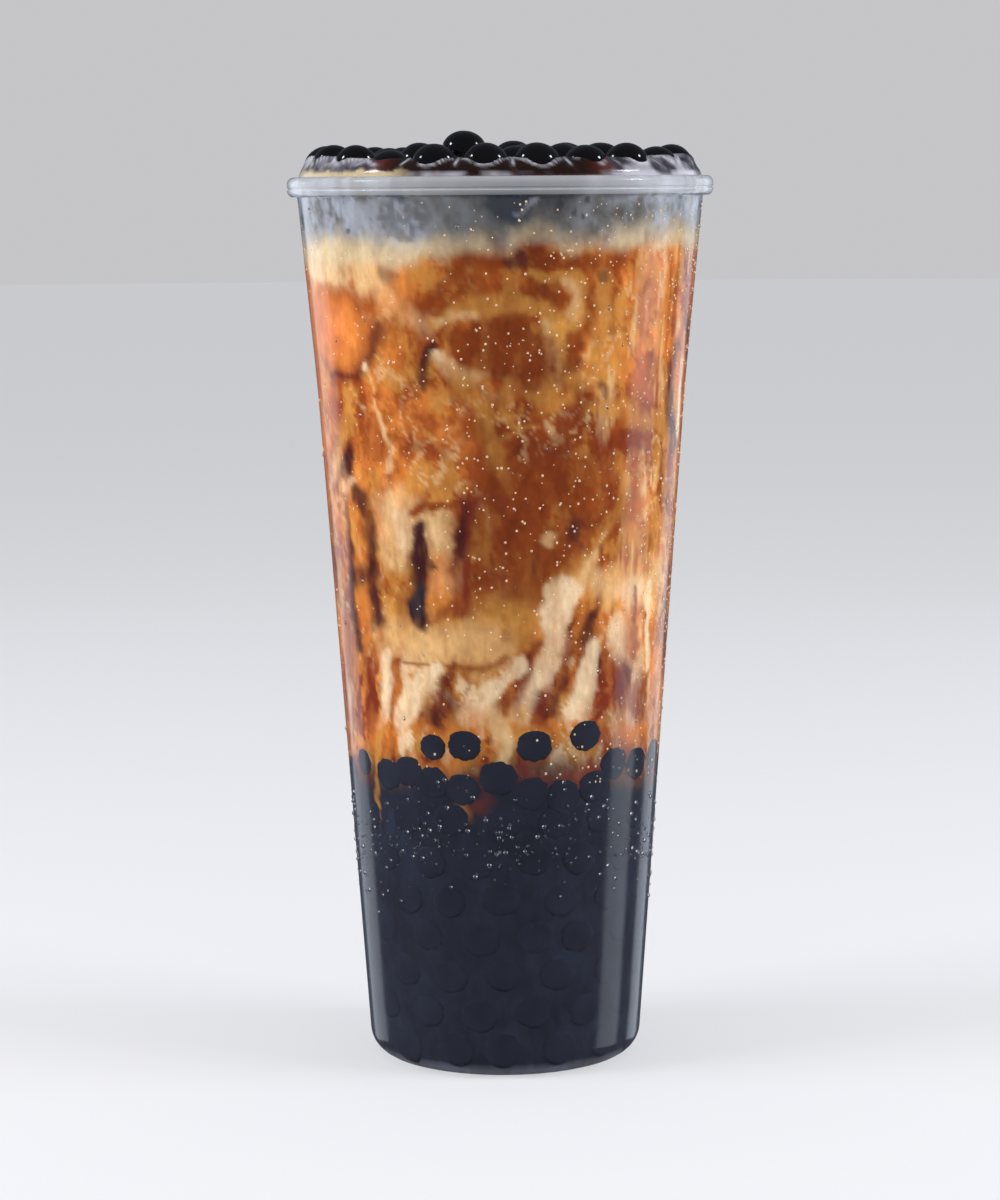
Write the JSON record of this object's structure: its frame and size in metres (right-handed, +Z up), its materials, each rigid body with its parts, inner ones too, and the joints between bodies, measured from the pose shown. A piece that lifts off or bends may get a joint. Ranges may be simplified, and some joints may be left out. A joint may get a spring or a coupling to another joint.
{
  "type": "bubble tea",
  "caption": "Milk tea with tapioca pearls in a tall clear plastic cup: a dark pearl bed below, marbled tea, a cream layer, and glossy pearls heaped over the rim.",
  "frame": {"origin": "centre of the foot, on the table", "axes": "+Z up along the cup's axis; -Y is the front of the drink"},
  "size_m": [0.09, 0.09, 0.1976],
  "materials": {
    "cup_plastic": "clear, glossy",
    "pearl_syrup": "wet, glossy, very dark",
    "milk_tea": "wet, caramel brown marbled with cream",
    "cream": "wet, pale cream",
    "pearl": "wet, glossy, near black"
  },
  "bodies": {
    "root": {"cup": "cup_plastic", "pearl_bed": "pearl_syrup", "milk_tea": "milk_tea", "cream_layer": "cream", "pearl_01": "pearl", "pearl_02": "pearl", "pearl_03": "pearl", "pearl_04": "pearl", "pearl_05": "pearl", "pearl_06": "pearl", "pearl_07": "pearl", "pearl_08": "pearl", "pearl_09": "pearl", "pearl_10": "pearl", "pearl_11": "pearl", "pearl_12": "pearl", "pearl_13": "pearl", "pearl_14": "pearl", "pearl_15": "pearl", "pearl_16": "pearl", "pearl_17": "pearl", "pearl_18": "pearl", "pearl_19": "pearl", "pearl_20": "pearl", "pearl_21": "pearl", "pearl_22": "pearl", "pearl_23": "pearl", "pearl_24": "pearl", "pearl_25": "pearl", "pearl_26": "pearl", "pearl_27": "pearl", "pearl_28": "pearl", "pearl_29": "pearl", "pearl_30": "pearl", "pearl_31": "pearl", "pearl_32": "pearl", "pearl_33": "pearl", "pearl_34": "pearl", "pearl_35": "pearl", "pearl_36": "pearl", "pearl_37": "pearl", "pearl_38": "pearl", "pearl_39": "pearl", "pearl_40": "pearl", "pearl_41": "pearl", "pearl_42": "pearl", "pearl_43": "pearl", "pearl_44": "pearl", "pearl_45": "pearl", "pearl_46": "pearl", "pearl_47": "pearl", "pearl_48": "pearl", "pearl_49": "pearl", "pearl_50": "pearl"}
  },
  "joints": []
}
